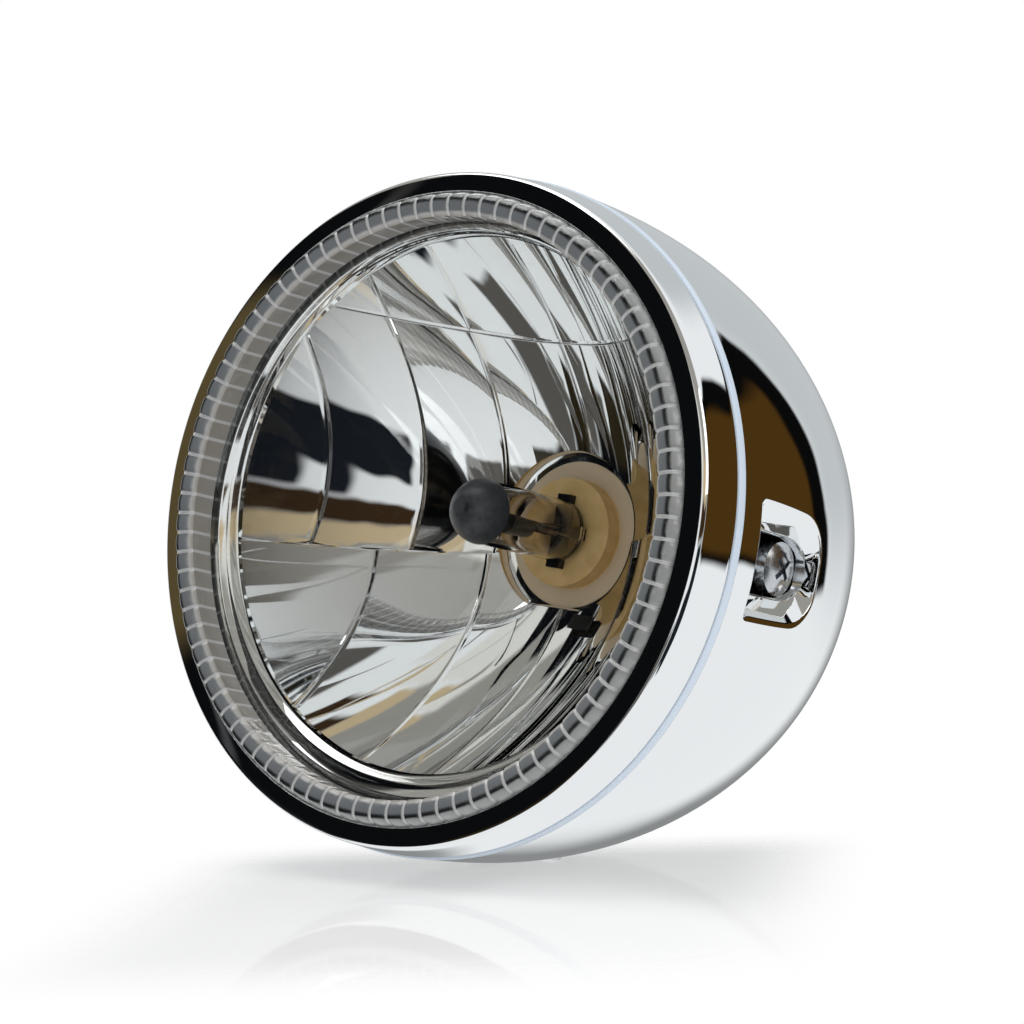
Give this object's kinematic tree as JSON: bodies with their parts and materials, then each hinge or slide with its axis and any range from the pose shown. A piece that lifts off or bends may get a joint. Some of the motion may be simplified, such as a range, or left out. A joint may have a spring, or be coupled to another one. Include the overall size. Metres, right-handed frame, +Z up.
{
  "type": "motorcycle headlight",
  "caption": "Round motorcycle headlight: deep chromed bowl, bezel with a beaded clear light ring, clear lens, facetted reflector and twin-filament bulb.",
  "frame": {"origin": "middle of the threaded seat under the bowl, on its outer face, where the lamp is bolted to its carrier", "axes": "-Y the way the lens faces, along the lamp axis; +Z up, out of the mount into the lamp; +X to the right of someone who looks at the lens"},
  "size_m": [0.1678, 0.1467, 0.1678],
  "materials": {
    "chromed_steel": "mirror-polished chrome plating",
    "chromed_bezel": "mirror-polished chrome plating",
    "pale_gasket": "translucent silicone",
    "clear_beads": "clear moulded polycarbonate",
    "clear_lens": "clear polycarbonate",
    "seal_rubber": "matt",
    "board": "solder-masked board",
    "diode": "encapsulated",
    "metallised": "vacuum-metallised and lacquered",
    "spring_steel": "bright spring steel",
    "bulb_glass": "clear quartz",
    "cap_paint": "dark opaque coating",
    "clamp_black": "blackened",
    "shield_metal": "bright",
    "filament": "drawn wire",
    "lead_wire": "drawn wire",
    "bulb_brass": "bare brass",
    "insulator": "moulded",
    "contact_metal": "tinned",
    "clip_wire": "bright spring wire",
    "zinc_screw": "zinc plated",
    "boot_rubber": "matt",
    "bracket_steel": "black electrocoat",
    "zinc_nut": "zinc plated",
    "plate_black": "moulded",
    "washer_steel": "spring steel",
    "zinc_screw_side": "zinc plated",
    "mount_steel": "zinc plated",
    "grommet_rubber": "matt"
  },
  "bodies": {
    "root": {"housing": "chromed_steel", "bezel_ring": "chromed_bezel", "seam_gasket": "pale_gasket", "bead_ring": "clear_beads", "lens": "clear_lens", "lens_seal": "seal_rubber", "led_board": "board", "leds": "diode", "reflector": "metallised", "retaining_clips": "spring_steel", "bulb_glass": "bulb_glass", "bulb_cap": "cap_paint", "bulb_clamp": "clamp_black", "bulb_shield": "shield_metal", "bulb_filaments": "filament", "bulb_supports": "lead_wire", "bulb_flange": "bulb_brass", "bulb_insulator": "insulator", "bulb_contacts": "contact_metal", "bulb_clip": "clip_wire", "clip_screw": "zinc_screw", "rubber_boot": "boot_rubber", "side_brackets": "bracket_steel", "bracket_nuts": "zinc_nut", "side_plates": "plate_black", "lock_washers": "washer_steel", "side_screws": "zinc_screw_side", "mount_insert": "mount_steel", "cable_grommet": "grommet_rubber"}
  },
  "joints": []
}
